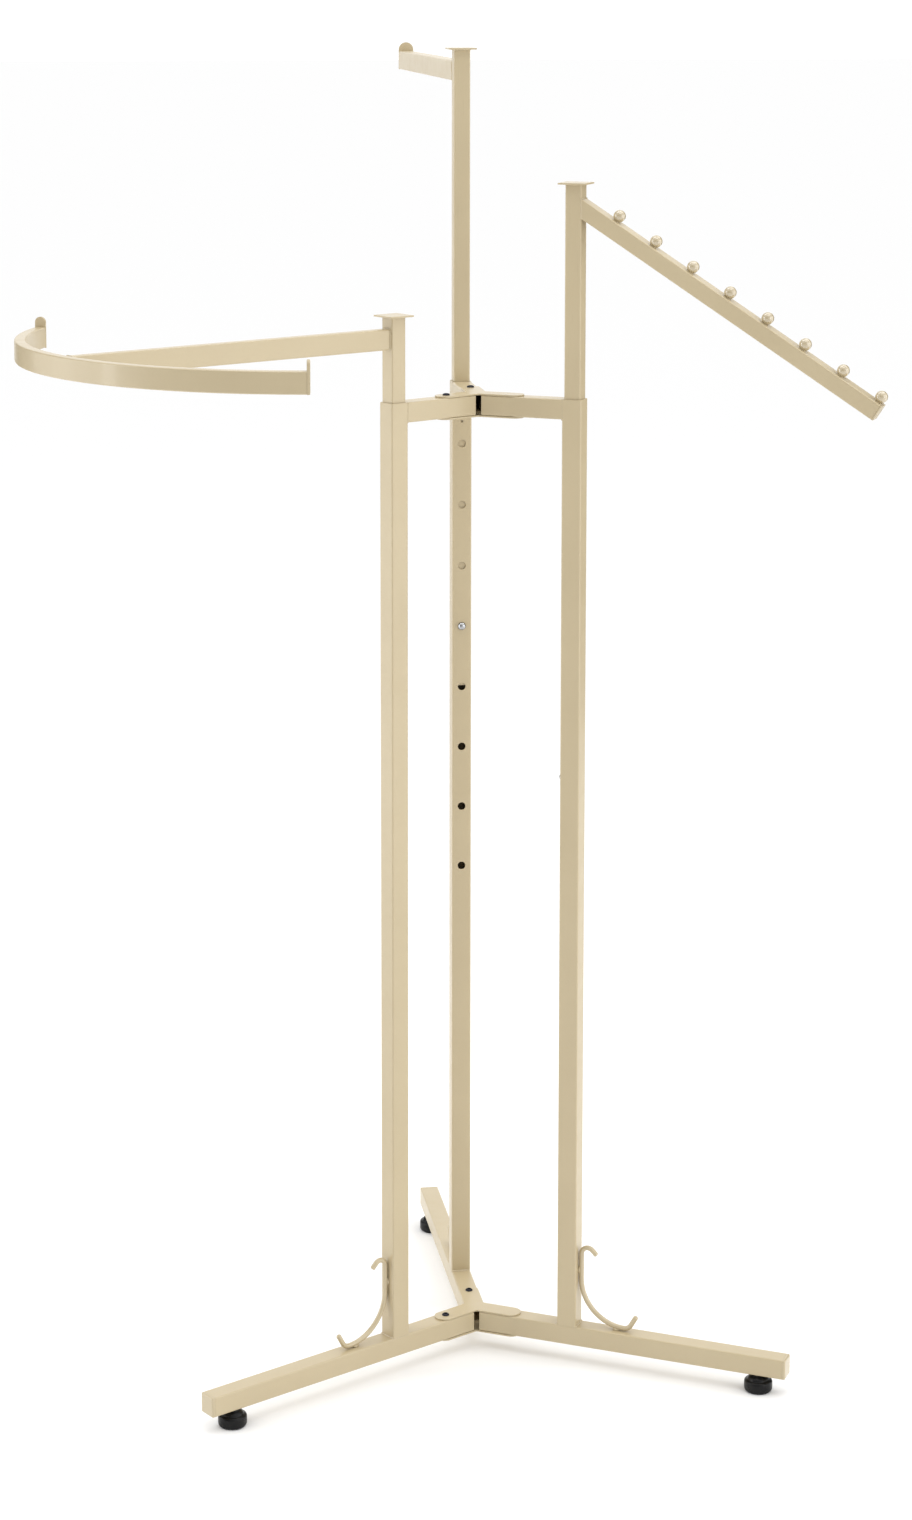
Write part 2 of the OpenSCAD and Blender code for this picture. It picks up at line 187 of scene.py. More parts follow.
def tube(g, m, w, h, r, z0, z1, holes=(), shear=0.0, e=0.35):
    """Open tube along Z with softened rims. holes are (height, radius) in its -X face."""
    a, mid = h / 2 - r, (z0 + z1) / 2
    levels = {z0 + e, z1 - e}
    for c, _ in holes:
        levels |= {round(c - a + a * i / 4, 4) for i in range(9)}
    levels = sorted(levels)
    nl, t = len(levels), 0.3 * e
    rings = [(0, z) for z in levels]
    rings += [(t, z1 - t), (e, z1), (WALL - e, z1), (WALL - t, z1 - t)]
    rings += [(WALL, z) for z in reversed(levels)]
    rings += [(WALL - t, z0 + t), (WALL - e, z0), (e, z0), (t, z0 + t)]
    loops = []
    for d, z in rings:
        s = shear if z < mid else 0
        loops.append(g.loop([(x, y, z + s * (w / 2 - x)) for x, y in rrect(w, h, r, d)], m))
    count = len(loops)
    for i in range(count):
        on_skin = i < nl - 1 or nl + 4 <= i < 2 * nl + 3
        g.bridge(loops[i], loops[(i + 1) % count], closed=not (holes and on_skin))
    if not holes:
        return
    cells = {round(c - a, 4): (c, rr) for c, rr in holes}
    skins = []
    for inner in (False, True):
        row = [loops[2 * nl + 3 - j] if inner else loops[j] for j in range(nl)]
        x = -w / 2 + (WALL if inner else 0)
        line, j, rims = {}, 0, []

        def across(j, x=x, line=line, row=row):
            if j not in line:
                pts = [(x, a - a * k / 4, levels[j]) for k in range(1, 8)]
                line[j] = [row[j][-1], *g.loop(pts, m), row[j][0]]
            return line[j]

        while j < nl - 1:
            if levels[j] in cells:
                low, high = across(j), across(j + 8)
                edge = list(reversed(low)) + [row[j + i][-1] for i in range(1, 8)]
                edge += high + [row[j + i][0] for i in range(7, 0, -1)]
                rims.append((levels[j], edge))
                j += 8
            else:
                ends = [row[j][-1], row[j][0]], [row[j + 1][-1], row[j + 1][0]]
                low = line.get(j, ends[0])
                high = across(j + 1) if levels[j + 1] in cells else ends[1]
                g.f.append(tuple(low) + tuple(reversed(high)))
                j += 1
        skins.append(rims)
    for (z, outer), (_, inner) in zip(*skins):
        c, rr = cells[z]
        around = []
        for p in outer:
            q = m.inverted() @ g.v[p]
            n = math.hypot(q.y, q.z - c)
            around.append((q.y / n, (q.z - c) / n))
        x0 = -w / 2
        steps = [(e, 0), (t, t), (0, e), (0, WALL - e), (t, WALL - t), (e, WALL)]
        chain = [outer]
        for dr, dx in steps:
            chain.append(g.loop([(x0 + dx, cy * (rr + dr), c + cz * (rr + dr)) for cy, cz in around], m))
        g.skin(chain + [inner], ends=False)


def swept_tube(g, stations, w, h, r):
    """Tube whose section stands at each station's matrix, closed at both rims."""
    outer = [g.loop([(x, y, 0) for x, y in rrect(w, h, r)], s) for s in stations]
    inner = [g.loop([(x, y, 0) for x, y in rrect(w, h, r, WALL)], s) for s in reversed(stations)]
    loops = outer + inner
    for i in range(len(loops)):
        g.bridge(loops[i], loops[(i + 1) % len(loops)])


def inset(pts, d):
    """Closed outline moved inwards by d, for an outline that runs counterclockwise."""
    n, out = len(pts), []
    for i in range(n):
        p, a, b = Vector(pts[i]), Vector(pts[i - 1]), Vector(pts[(i + 1) % n])
        u, v = (p - a).normalized(), (b - p).normalized()
        na, nb = Vector((-u.y, u.x)), Vector((-v.y, v.x))
        k = max(1 + na.dot(nb), 0.4)
        out.append(p + (na + nb) * (d / k))
    return out


def plate(g, m, outline, t, e=0.4):
    """Flat plate on XY with rounded edges."""
    steps = [(e, 0), (0.3 * e, 0.3 * e), (0, e), (0, t - e), (0.3 * e, t - 0.3 * e), (e, t)]
    g.skin([g.loop([(p[0], p[1], z) for p in inset(outline, d)], m) for d, z in steps])


def lathe(g, m, profile, n=48):
    """Closed solid of revolution about Z. The profile starts and ends on the axis."""
    loops = [g.loop(circle(r, z, n), m) for r, z in profile[1:-1]]
    g.skin(loops, ends=False)
    for (r, z), ring in ((profile[0], loops[0]), (profile[-1], loops[-1])):
        (p,) = g.loop([(0, 0, z)], m)
        g.f += [(p, ring[i], ring[(i + 1) % n]) for i in range(n)]


def rod(g, m, path, r, n=16, ripple=None):
    """Round rod along a path of points with rounded ends. ripple(s) scales its radius along its length."""
    pts = [Vector(p) for p in path]
    run, s = [0.0], 0.0
    for a, b in zip(pts, pts[1:]):
        s += (b - a).length
        run.append(s)
    loops, side = [], None
    for i, p in enumerate(pts):
        t = (pts[min(i + 1, len(pts) - 1)] - pts[max(i - 1, 0)]).normalized()
        if side is None:
            side = t.orthogonal().normalized()
        side = (side - t * side.dot(t)).normalized()
        up = t.cross(side)
        k = ripple(run[i]) if ripple else 1.0
        rings = [(r * k, 0)]
        if i == 0:
            rings = [(r * k * c, -r * q) for c, q in ((0.45, 0.42), (0.8, 0.28))] + rings
        if i == len(pts) - 1:
            rings = rings + [(r * k * c, r * q) for c, q in ((0.8, 0.28), (0.45, 0.42))]
        for rr, d in rings:
            ring = []
            for j in range(n):
                a = 2 * math.pi * j / n
                ring.append(p + t * d + side * (rr * math.cos(a)) + up * (rr * math.sin(a)))
            loops.append(g.loop(ring, m))
    g.skin(loops)


def leaf(g, m, corners, t, w):
    """Flat strip, w wide along Y and t thick, along a line of (x, z) corner points with rounded bends."""
    pts = [Vector((x, 0, z)) for x, z in corners]
    path = [pts[0]]
    for a, p, b in zip(pts, pts[1:], pts[2:]):
        reach = min(3.0, (a - p).length * 0.49, (b - p).length * 0.49)
        u, v = p + (a - p).normalized() * reach, p + (b - p).normalized() * reach
        path += [u.lerp(p, q / 6).lerp(p.lerp(v, q / 6), q / 6) for q in range(7)]
    path.append(pts[-1])
    fine = [path[0]]
    for a, b in zip(path, path[1:]):
        n = max(1, round((b - a).length / 2.5))
        fine += [a.lerp(b, (i + 1) / n) for i in range(n)]
    loops = []
    for i, p in enumerate(fine):
        d = (fine[min(i + 1, len(fine) - 1)] - fine[max(i - 1, 0)]).normalized()
        station = Matrix(((d.z, 0, d.x, p.x), (0, 1, 0, 0), (-d.x, 0, d.z, p.z), (0, 0, 0, 1)))
        loops.append(g.loop([(x, y, 0) for x, y in rrect(t, w, t / 3, 0, 3)], m @ station))
    g.skin(loops)


def bead(g, m, corners, r=1.3, closed=False, seed=0.0):
    """Weld bead with overlapping ripples along a line of corner points."""
    pts = [Vector(c) for c in corners]
    if closed:
        pts.append(pts[0])
    path = []
    for a, b in zip(pts, pts[1:]):
        n = max(2, int((b - a).length / 0.45))
        path += [a.lerp(b, i / n) for i in range(n)]
    path.append(pts[-1])

    def ripple(s):
        saw = (s / 1.5 + 0.2 * math.sin(s * 0.9 + seed)) % 1.0
        return 0.86 + 0.2 * saw + 0.07 * math.sin(1.7 * s + 3 * seed)

    rod(g, m, path, r, n=10, ripple=ripple)


def make(name, g, body, nodes, mat, sharp=40):
    """Turns the geometry into a piece with clean normals that rides on a body, where one is given."""
    me = bpy.data.meshes.new(name)
    me.from_pydata([tuple(v) for v in g.v], [], g.f)
    bm = bmesh.new()
    bm.from_mesh(me)
    bmesh.ops.recalc_face_normals(bm, faces=bm.faces)
    bm.to_mesh(me)
    bm.free()
    me.polygons.foreach_set("use_smooth", [True] * len(me.polygons))
    me.set_sharp_from_angle(angle=rad(sharp))
    me.materials.append(mat)
    o = bpy.data.objects.new(name, me)
    bpy.context.scene.collection.objects.link(o)
    wn = o.modifiers.new("Weighted normals", "WEIGHTED_NORMAL")
    wn.keep_sharp = True
    if body:
        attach(o, body)
    if nodes:
        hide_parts(*nodes)
    return o


# ---------------------------------------------------------------- materials


def shader(name, metallic=0.0, rough=0.45):
    mat = bpy.data.materials.new(name)
    mat.use_nodes = True
    nt = mat.node_tree
    bsdf = next(n for n in nt.nodes if n.type == "BSDF_PRINCIPLED")
    bsdf.inputs["Metallic"].default_value = metallic
    bsdf.inputs["Roughness"].default_value = rough
    return mat, nt, bsdf


def noise(nt, scale, detail=3.0, stretch=None, rough=0.5):
    """Noise in the piece's own metres, stretched by a scale for each axis."""
    co = nt.nodes.new("ShaderNodeTexCoord")
    tex = nt.nodes.new("ShaderNodeTexNoise")
    tex.inputs["Scale"].default_value = scale
    tex.inputs["Detail"].default_value = detail
    tex.inputs["Roughness"].default_value = rough
    if stretch:
        mp = nt.nodes.new("ShaderNodeMapping")
        mp.inputs["Scale"].default_value = stretch
        nt.links.new(co.outputs["Object"], mp.inputs["Vector"])
        nt.links.new(mp.outputs["Vector"], tex.inputs["Vector"])
    else:
        nt.links.new(co.outputs["Object"], tex.inputs["Vector"])
    return tex.outputs["Fac"]


def spread(nt, fac, lo, hi, a, b):
    """Maps lo..hi of a noise to a..b."""
    mr = nt.nodes.new("ShaderNodeMapRange")
    for key, val in (("From Min", lo), ("From Max", hi), ("To Min", a), ("To Max", b)):
        mr.inputs[key].default_value = val
    nt.links.new(fac, mr.inputs["Value"])
    return mr.outputs["Result"]


def blend_colour(nt, fac, a, b):
    mix = nt.nodes.new("ShaderNodeMix")
    mix.data_type = "RGBA"
    for sock, val in ((mix.inputs[6], a), (mix.inputs[7], b)):
        if isinstance(val, tuple):
            sock.default_value = (*val, 1)
        else:
            nt.links.new(val, sock)
    nt.links.new(fac, mix.inputs[0])
    return mix.outputs[2]


def bump(nt, bsdf, height, depth, strength=1.0):
    b = nt.nodes.new("ShaderNodeBump")
    b.inputs["Strength"].default_value = strength
    b.inputs["Distance"].default_value = depth
    nt.links.new(height, b.inputs["Height"])
    nt.links.new(b.outputs["Normal"], bsdf.inputs["Normal"])


BASE = (0.498, 0.41, 0.254)  # the paint's linear colour


def tinted(k, warm=0.0):
    """The paint's colour made k times as bright, and browner by warm."""
    return (BASE[0] * k, BASE[1] * k * (1 - 0.4 * warm), BASE[2] * k * (1 - warm))


def powder_coat(name, k=1.0, scuffs=None, gloss=0.0):
    """Ivory-khaki powder coat: slight clouding, orange peel, and fine scuffs where a mast slides."""
    mat, nt, bsdf = shader(name, rough=0.4)
    cloud = spread(nt, noise(nt, 9, 4), 0.35, 0.65, 0, 1)
    colour = blend_colour(nt, cloud, tinted(k * 0.975, 0.02), tinted(k * 1.02))
    speck = spread(nt, noise(nt, 1500, 1), 0.62, 0.75, 0, 0.35)
    colour = blend_colour(nt, speck, colour, tinted(k * 0.8, 0.06))
    rough = spread(nt, noise(nt, 60, 3), 0.3, 0.7, 0.34 - 0.14 * gloss, 0.44 - 0.16 * gloss)
    if scuffs:
        line = spread(nt, noise(nt, 40, 5, (30, 30, 0.6), 0.65), 0.6, 0.74, 0, scuffs)
        colour = blend_colour(nt, line, colour, tinted(k * 0.72, 0.1))
    nt.links.new(colour, bsdf.inputs["Base Color"])
    nt.links.new(rough, bsdf.inputs["Roughness"])
    bsdf.inputs["Specular IOR Level"].default_value = 0.62
    bsdf.inputs["Coat Weight"].default_value = 0.3 + 0.7 * gloss
    bsdf.inputs["Coat Roughness"].default_value = 0.14 - 0.08 * gloss
    bsdf.inputs["Coat IOR"].default_value = 1.5 + 0.5 * gloss
    bump(nt, bsdf, noise(nt, 620, 2), 0.00005, 0.5 - 0.35 * gloss)
    return mat


def plastic_black():
    mat, nt, bsdf = shader("Foot black plastic")
    grey = spread(nt, noise(nt, 55, 5), 0.5, 0.8, 0, 0.7)
    colour = blend_colour(nt, grey, (0.004, 0.004, 0.004), (0.012, 0.012, 0.012))
    nt.links.new(colour, bsdf.inputs["Base Color"])
    nt.links.new(spread(nt, noise(nt, 140, 3), 0.3, 0.7, 0.26, 0.38), bsdf.inputs["Roughness"])
    bsdf.inputs["Specular IOR Level"].default_value = 0.22
    bump(nt, bsdf, noise(nt, 1800, 2), 0.00004, 0.4)
    return mat


def metal(name, a, b, r0, r1, scale=120, depth=0.00002, stretch=None):
    mat, nt, bsdf = shader(name, metallic=1.0)
    n = noise(nt, scale, 4, stretch)
    nt.links.new(blend_colour(nt, spread(nt, n, 0.3, 0.7, 0, 1), a, b), bsdf.inputs["Base Color"])
    nt.links.new(spread(nt, noise(nt, scale * 2.3, 3, stretch), 0.3, 0.7, r0, r1), bsdf.inputs["Roughness"])
    bump(nt, bsdf, noise(nt, scale * 6, 2, stretch), depth, 0.4)
    return mat


PAINT = powder_coat("Powder coat")
PAINT_MAST = powder_coat("Powder coat mast", 1.0, scuffs=0.5)
PAINT_WELD = powder_coat("Powder coat weld", 1.0, gloss=0.4)
PAINT_ROD = powder_coat("Powder coat rod", 0.98, gloss=0.3)
PAINT_BALL = powder_coat("Powder coat ball", 0.96, gloss=1.0)
BLACK = plastic_black()
CHROME = metal("Button chrome", (0.36, 0.37, 0.39), (0.50, 0.51, 0.53), 0.08, 0.18, 300, 0.00001)
ZINC = metal("Zinc plate", (0.42, 0.42, 0.40), (0.60, 0.60, 0.57), 0.28, 0.42, 240)
SPRING = metal("Spring steel", (0.36, 0.36, 0.37), (0.50, 0.50, 0.50), 0.25, 0.38, 200, stretch=(1, 1, 0.1))
BOLT = metal("Dark bolt", (0.018, 0.018, 0.022), (0.05, 0.05, 0.06), 0.25, 0.4, 260)

# ---------------------------------------------------------------- frame pieces


def hub_outline():
    """The hub plate's outline, with small fillets between its arms."""
    pts, r = [], TUBE / 2
    for k in ("b", "a", "c"):
        az = rad(AZ[k])
        u, v = Vector((math.cos(az), math.sin(az))), Vector((-math.sin(az), math.cos(az)))
        for i in range(17):
            a = rad(-90 + 180 * i / 16)
            pts.append(u * (PLATE_ROOT + r * math.cos(a)) + v * (r * math.sin(a)))
        root = r / math.sin(rad(60))
        mid = Vector((math.cos(az + rad(60)), math.sin(az + rad(60))))
        centre = mid * (root + PLATE_FILLET / math.sin(rad(60)))
        for i in range(7):
            a = az + rad(60) + math.pi + rad(30 - 10 * i)
            pts.append(centre + Vector((math.cos(a), math.sin(a))) * PLATE_FILLET)
    return pts


def hex_r(flats, i, n):
    """Radius of a hexagon at the i-th of n points round it."""
    a = (2 * math.pi * i / n) % (math.pi / 3) - math.pi / 6
    return flats / 2 / math.cos(a)


def hex_nut(g, m, flats, h, bore, n=48):
    """Hex nut from z = 0 to h with chamfered corners and a bore."""
    big = flats / 2 / math.cos(math.pi / 6)
    loops = []
    for cap, z in ((0.93, 0), (0.955, 0.2), (1.0, 0.75), (1.0, h - 0.75), (0.955, h - 0.2), (0.93, h)):
        loops.append(g.loop(circle(lambda i, cap=cap: min(hex_r(flats, i, n), big * cap), z, n), m))
    loops += [g.loop(circle(bore + d, z, n), m) for d, z in ((0.5, h), (0, h - 0.5), (0, 0.5), (0.5, 0))]
    for i in range(len(loops)):
        g.bridge(loops[i], loops[(i + 1) % len(loops)])


def hub_bolt(g, m, n=48):
    """Button-head bolt with a hex socket. Its head rests on z = 0."""
    d, h = HEAD_D / 2, HEAD_H
    shank = [(BOLT_R - 0.5, BOLT_TIP), (BOLT_R, BOLT_TIP + 0.5), (BOLT_R, 0)]
    head = [(d - 0.15, 0), (d, 0.2), (d, 0.45)]
    head += [(d * kr, h * kz) for kr, kz in ((0.93, 0.55), (0.8, 0.82), (0.66, 0.96), (0.6, 1))]
    loops = [g.loop(circle(r, z, n), m) for r, z in shank + head]
    for flats, z in ((SOCKET + 0.3, h - 0.1), (SOCKET, h - 0.35), (SOCKET, 0.35)):
        loops.append(g.loop(circle(lambda i, flats=flats: hex_r(flats, i, n), z, n), m))
    g.skin(loops)


def along(x, z, tilt, length):
    """Point of the leg's plane at a length from (x, z), tilted up from X."""
    return Vector((x + length * math.cos(rad(tilt)), 0, z + length * math.sin(rad(tilt))))


def scroll_path():
    """Points down the scroll's rod, from the upper hook's end to the lower one's."""
    x, z, r = FACE_OUT + ROD_AT, BASE_TOP + ROD_AT, SCROLL_R
    top = z + r + SCROLL_RUN
    hook = (x + HOOK_R, top)
    heel = (x + r, z + HEEL_R)
    end = along(*hook, 45, HOOK_R)
    pts = [along(end.x, end.z, -45, HOOK_END - i * 1.2) for i in range(6)]
    pts += [along(*hook, a, HOOK_R) for a in range(45, 181, 9)]
    pts += [Vector((x, 0, top - SCROLL_RUN * i / 8)) for i in range(1, 8)]
    pts += [along(x + r, z + r, a, r) for a in range(180, 271, 3)]
    pts += [along(*heel, a, HEEL_R) for a in range(276, 331, 6)]
    end = along(*heel, 330, HEEL_R)
    return pts + [along(end.x, end.z, 60, HEEL_END * i / 10) for i in range(1, 10)]


def blob(g, m, size, seed):
    """Lumpy weld bead, an uneven closed form of three radii."""
    n, rows = 20, 11
    loops = []
    for j in range(1, rows):
        b = math.pi * j / rows
        ring = []
        for i in range(n):
            a = 2 * math.pi * i / n
            k = 1 + 0.07 * math.sin(3 * a + seed) * math.sin(b) + 0.05 * math.sin(5 * b + 2 * a + seed)
            p = Vector((math.sin(b) * math.cos(a), math.sin(b) * math.sin(a), math.cos(b))) * k
            ring.append((p.x * size[0], p.y * size[1], p.z * size[2]))
        loops.append(g.loop(ring, m))
    g.skin(loops)


def thread(g, m, r, z0, z1, pitch, n=32):
    """Right-hand screw thread as real ridges, with tapered ends."""
    per, depth, loops = 6, 0.62, []  # rings for each turn, height of a ridge
    count = int((z1 - z0) / pitch * per)
    for j in range(count + 1):
        z = z0 + (z1 - z0) * j / count
        ring = []
        for i in range(n):
            a = 2 * math.pi * i / n
            f = ((z / pitch) - i / n) % 1.0
            ridge = min(1.0, max(0.0, 2.2 * abs(2 * f - 1) - 0.6))
            end = min(1.0, (z - z0) / 1.2 + 0.1, (z1 - z) / 1.2 + 0.1)
            rr = min(r - depth * (1 - ridge), r - depth + depth * end * ridge)
            ring.append((rr * math.cos(a), rr * math.sin(a), z))
        loops.append(g.loop(ring, m))
    g.skin(loops)


def end_cap(g, m):
    """Plug with a soft chamfered face and a fine seam against the tube. m's Z is the tube's.

    Each pair is an inset from the tube's outside and a distance from the hub axis.
    """
    steps = [(2, BASE_END - 12), (1.8, BASE_END - 11.6), (1.8, BASE_END - 0.1)]  # inside the tube
    steps += [(0.25, BASE_END), (0, BASE_END + 0.3)]
    steps += [(d, LEG_END - back) for d, back in ((0, 1.8), (0.22, 1.1), (0.7, 0.55), (1.4, 0.2), (2.6, 0))]
    g.skin([g.loop([(x, y, z) for x, y in rrect(TUBE, TUBE, TUBE_R, d)], m) for d, z in steps])


# foot pad: radius and height round its recessed sole, side, shoulder, neck and bore
PAD = [(0, 0.6), (11.5, 0.6), (12, 0.0), (14.2, 0.0), (15.4, 0.45), (16.3, 1.4), (16.85, 2.8), (17, 4.2)]
PAD += [(17, 10.6), (16.8, 11.9), (16.2, 13.0), (15.2, 13.7), (13.9, 14.0), (13.3, 14.3), (12.9, 15.2)]
PAD += [(12.2, 16.6), (10.6, 18.0), (9.2, 18.8), (8.5, 19.8), (8.2, 20.7), (7.7, 21.0)]
PAD += [(4.6, 21.0), (4.1, 20.5), (4.06, STUD_LOW), (0, STUD_LOW)]

for k in LEGS:
    L, seed = leg(k), ord(k)
    level = L @ moved(0, 0, BASE_LOW + TUBE / 2) @ ALONG
    g = Geo()
    tube(g, level, TUBE, TUBE, TUBE_R, HUB_GAP, BASE_END, holes=[(FOOT_AT, FOOT_HOLE_R)])
    make(f"leg_{k}_base", g, "frame", [f"base_tube_{k}"], PAINT)
    g = Geo()
    holes = [(TOP_HOLE - PITCH * i, HOLE_R) for i in range(HOLE_COUNT)] + [(RIM - VENT_DROP, VENT_R)]
    tube(g, L @ moved(UP_AT), TUBE, TUBE, TUBE_R, BASE_TOP, RIM, holes=holes)
    make(f"leg_{k}_upright", g, "frame", [f"upright_{k}"], PAINT)
    g = Geo()
    tube(g, L @ moved(0, 0, LINK_Z + TUBE / 2) @ ALONG, TUBE, TUBE, TUBE_R, HUB_GAP, FACE_IN)
    make(f"leg_{k}_link", g, "frame", [f"link_tube_{k}"], PAINT)
    g = Geo()
    end_cap(g, level)
    make(f"leg_{k}_end_cap", g, "frame", [f"end_cap_{k}"], PAINT_ROD)

    g = Geo()
    rod(g, L, scroll_path(), ROD, n=24)
    blob(g, L @ moved(FACE_OUT + 0.9, 0, BASE_TOP + ROD_AT + BEAD_UP), (2.0, 3.6, 5.2), seed)
    foot_x = FACE_OUT + ROD_AT + SCROLL_R - BEAD_BACK
    blob(g, L @ moved(foot_x, 0, BASE_TOP + 1.0), (5.0, 3.6, 2.0), seed + 2)
    make(f"leg_{k}_scroll", g, "frame", [f"scroll_{k}"], PAINT_ROD)

    g = Geo()  # seams where upright, base tube and link tube are welded
    half = TUBE / 2 - 1.5
    for x in (FACE_IN, FACE_OUT):
        bead(g, L, [(x, -half, BASE_TOP), (x, half, BASE_TOP)], 1.5, seed=seed + x)
    bead(g, L, [(FACE_IN, -half, LINK_Z), (FACE_IN, half, LINK_Z)], 1.25, seed=seed)
    for s in (-1, 1):
        y = s * (TUBE / 2 - 1.05)
        bead(g, L, [(FACE_IN + 1, y, BASE_TOP - 0.4), (FACE_OUT - 1, y, BASE_TOP - 0.4)], 1.05, seed=seed + s)
        bead(g, L, [(FACE_IN + 0.5, y, LINK_Z + 1), (FACE_IN + 0.5, y, RIM - 2)], 1.05, seed=seed - s)
    make(f"leg_{k}_welds", g, "frame", [], PAINT_WELD, sharp=80)

    g = Geo()
    thread(g, L @ moved(FOOT_AT), THREAD_R, STUD_LOW, STUD_TOP, THREAD_PITCH)
    make(f"foot_{k}_stud", g, f"stud_{k}", [f"foot_stud_{k}"], ZINC, sharp=70)
    g = Geo()
    hex_nut(g, L @ moved(FOOT_AT, 0, BASE_LOW + WALL), *WELD_NUT, THREAD_R + NUT_FIT)
    make(f"foot_{k}_weld_nut", g, "frame", [f"weld_nut_{k}"], ZINC)
    g = Geo()
    lathe(g, L @ moved(FOOT_AT), PAD, 64)
    make(f"foot_{k}_pad", g, f"pad_{k}", [f"foot_pad_{k}"], BLACK, sharp=60)

plates = {"hub_plate_top": RIM, "hub_plate_under_top": LINK_Z - PLATE_T}
plates |= {"hub_plate_low": BASE_TOP, "hub_plate_under_low": BASE_LOW - PLATE_T}
for node, z in plates.items():
    g = Geo()
    plate(g, Matrix.Translation(HUB) @ Matrix.Scale(0.001, 4) @ moved(0, 0, z), hub_outline(), PLATE_T, 0.5)
    make(node.replace("hub_plate", "plate"), g, "frame", [node], PAINT)
levels = {"top": (RIM + PLATE_T, LINK_Z + WALL), "low": (BASE_TOP + PLATE_T, BASE_LOW + WALL)}
for level_name, (head_z, nut_z) in levels.items():
    g, h = Geo(), Geo()
    for k in "ab":  # leg C has no bolts
        hub_bolt(g, leg(k) @ moved(BOLT_AT, 0, head_z) @ turned(17 + 20 * ord(k)))
        hex_nut(h, leg(k) @ moved(BOLT_AT, 0, nut_z), *HUB_NUT, BOLT_R + NUT_FIT)
    node = f"hub_bolts_{level_name}"
    make(f"bolts_{level_name}", g, "frame", [node], BOLT, sharp=50)
    node = f"hub_nuts_{level_name}"
    make(f"nuts_{level_name}", h, "frame", [node], ZINC)

# ---------------------------------------------------------------- masts and buttons

BUTTON_X, BUTTON_R = 107.5, 4.7
DOME_R = 5.182  # sphere radius of the button's domed end
BUTTON = [(math.sqrt(max(2 * DOME_R * d - d * d, 0)), d) for d in (0, 0.08, 0.3, 0.7, 1.2, 1.8, 2.4, 2.8)]
BUTTON += [(4.66, 3.05), (BUTTON_R, 3.4), (BUTTON_R, 7.7), (4.85, 8.0)]
BUTTON += [(5.8, 8.0), (6.0, 8.2), (6.0, 9.0), (5.8, 9.2), (0, 9.2)]  # the flange behind the mast's wall

# the leaf spring's corners, from behind the button down round its bend and up to the far wall
LEAF = [(117.11, 6), (117.11, -6), (121.56, -46), (124.56, -49), (127.56, -46), (132, -15.3)]
LEAF_T, LEAF_W = 0.8, 8

for k in LEGS:
    L, z, body, seed = leg(k), HOLE[k], f"mast_{k}", 2 * ord(k)
    g = Geo()
    tube(g, L @ moved(UP_AT), MAST, MAST, MAST_R, z + MAST_LOW, z + MAST_TOP, holes=[(z, HOLE_R)])
    make(f"mast_{k}_tube", g, body, [f"mast_tube_{k}"], PAINT_MAST)
    g = Geo()
    plate(g, L @ moved(UP_AT, 0, z + MAST_TOP), rrect(CAP_W, CAP_W, 1.0), CAP_T, 0.3)
    make(f"mast_{k}_cap", g, body, [f"mast_cap_{k}"], PAINT)
    g = Geo()
    ring = [(UP_AT + x, y, z + MAST_TOP) for x, y in rrect(MAST, MAST, MAST_R, 0, 2)]
    bead(g, L, ring, 1.0, closed=True, seed=seed)
    make(f"mast_{k}_cap_weld", g, body, [], PAINT_WELD, sharp=80)

    g = Geo()
    lathe(g, L @ moved(BUTTON_X, 0, z) @ ON_END, BUTTON, 48)
    make(f"button_{k}_dome", g, f"button_{k}", [f"snap_button_{k}"], CHROME, sharp=50)
    g = Geo()
    leaf(g, L @ moved(0, 0, z), LEAF, LEAF_T, LEAF_W)
    o = make(f"button_{k}_spring", g, None, [f"snap_spring_{k}"], SPRING, sharp=50)
    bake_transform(o)

# ---------------------------------------------------------------- arms


def weld_ring(g, m, x, z, h, w, r, bead_r, seed):
    """Weld bead round a level arm's section at distance x, centred on height z."""
    bead(g, m, [(x, y, z + v) for v, y in rrect(h, w, r, 0, 2)], bead_r, closed=True, seed=seed)


def tip_outline(w, h):
    """Plate with a half-round top, standing on its lower side."""
    pts = [(-w / 2, 0), (w / 2, 0)]
    pts += [(w / 2 * math.cos(rad(a)), h - w / 2 + w / 2 * math.sin(rad(a))) for a in range(0, 181, 9)]
    return pts


# arm A with the curved rail
L, z = leg("a"), HOLE["a"] + ARM_Z
mid, inner = z + ARM_H / 2, RAIL_C + RAIL_R - RAIL_W
g = Geo()
tube(g, L @ moved(0, 0, mid) @ ALONG, ARM_H, RAIL_W, TUBE_R, MAST_OUT, inner)
make("arm_a_tube", g, "mast_a", ["arm_tube_a"], PAINT)
g = Geo()
upright_section = Matrix(((1, 0, 0, 0), (0, 0, -1, 0), (0, 1, 0, 0), (0, 0, 0, 1)))
stations = []
for i in range(97):
    phi = -RAIL_HALF + 2 * RAIL_HALF * i / 96
    station = L @ moved(RAIL_C, 0, mid) @ turned(phi) @ moved(RAIL_R - RAIL_W / 2)
    stations.append(station @ upright_section)
swept_tube(g, stations, RAIL_W, ARM_H, TUBE_R)
make("arm_a_rail", g, "mast_a", ["curved_rail"], PAINT)
g = Geo()
for s in (-1, 1):
    m = L @ moved(RAIL_C, 0, z) @ turned(s * RAIL_HALF) @ moved(RAIL_R - RAIL_W / 2) @ turned(s * 90) @ ON_END
    plate(g, m, tip_outline(RAIL_W, ARM_H + TIP_RISE), TIP_T, 0.6)
make("arm_a_tips", g, "mast_a", ["rail_tips"], PAINT)
g = Geo()
weld_ring(g, L, MAST_OUT, mid, ARM_H, RAIL_W, TUBE_R, 1.3, 1)
weld_ring(g, L, inner, mid, ARM_H - 0.6, RAIL_W, TUBE_R, 1.0, 2)
make("arm_a_welds", g, "mast_a", [], PAINT_WELD, sharp=80)

